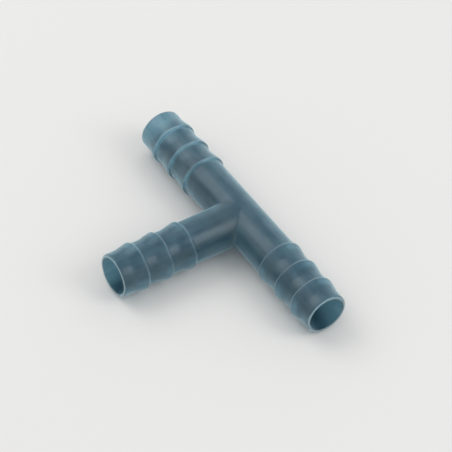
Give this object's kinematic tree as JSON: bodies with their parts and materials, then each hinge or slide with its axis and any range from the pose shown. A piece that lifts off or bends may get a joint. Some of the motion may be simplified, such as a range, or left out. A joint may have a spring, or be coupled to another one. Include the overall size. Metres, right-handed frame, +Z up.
{
  "type": "barbed tee hose connector",
  "caption": "Translucent plastic tee that joins soft hoses: a straight run and a side branch at right angles, each end a hollow spigot with sawtooth hose barbs.",
  "frame": {"origin": "where the axis of the run's bore crosses the axis of the branch's bore", "axes": "+X along the run towards its right mouth, -Y along the branch towards its mouth, +Z up, square to the plane of the three arms"},
  "size_m": [0.0666, 0.0388, 0.011],
  "materials": {
    "natural_polypropylene": "as moulded, milky translucent, satin"
  },
  "bodies": {
    "root": {"junction_body": "natural_polypropylene", "run_spigot_right": "natural_polypropylene", "run_spigot_left": "natural_polypropylene", "branch_spigot": "natural_polypropylene"}
  },
  "joints": []
}
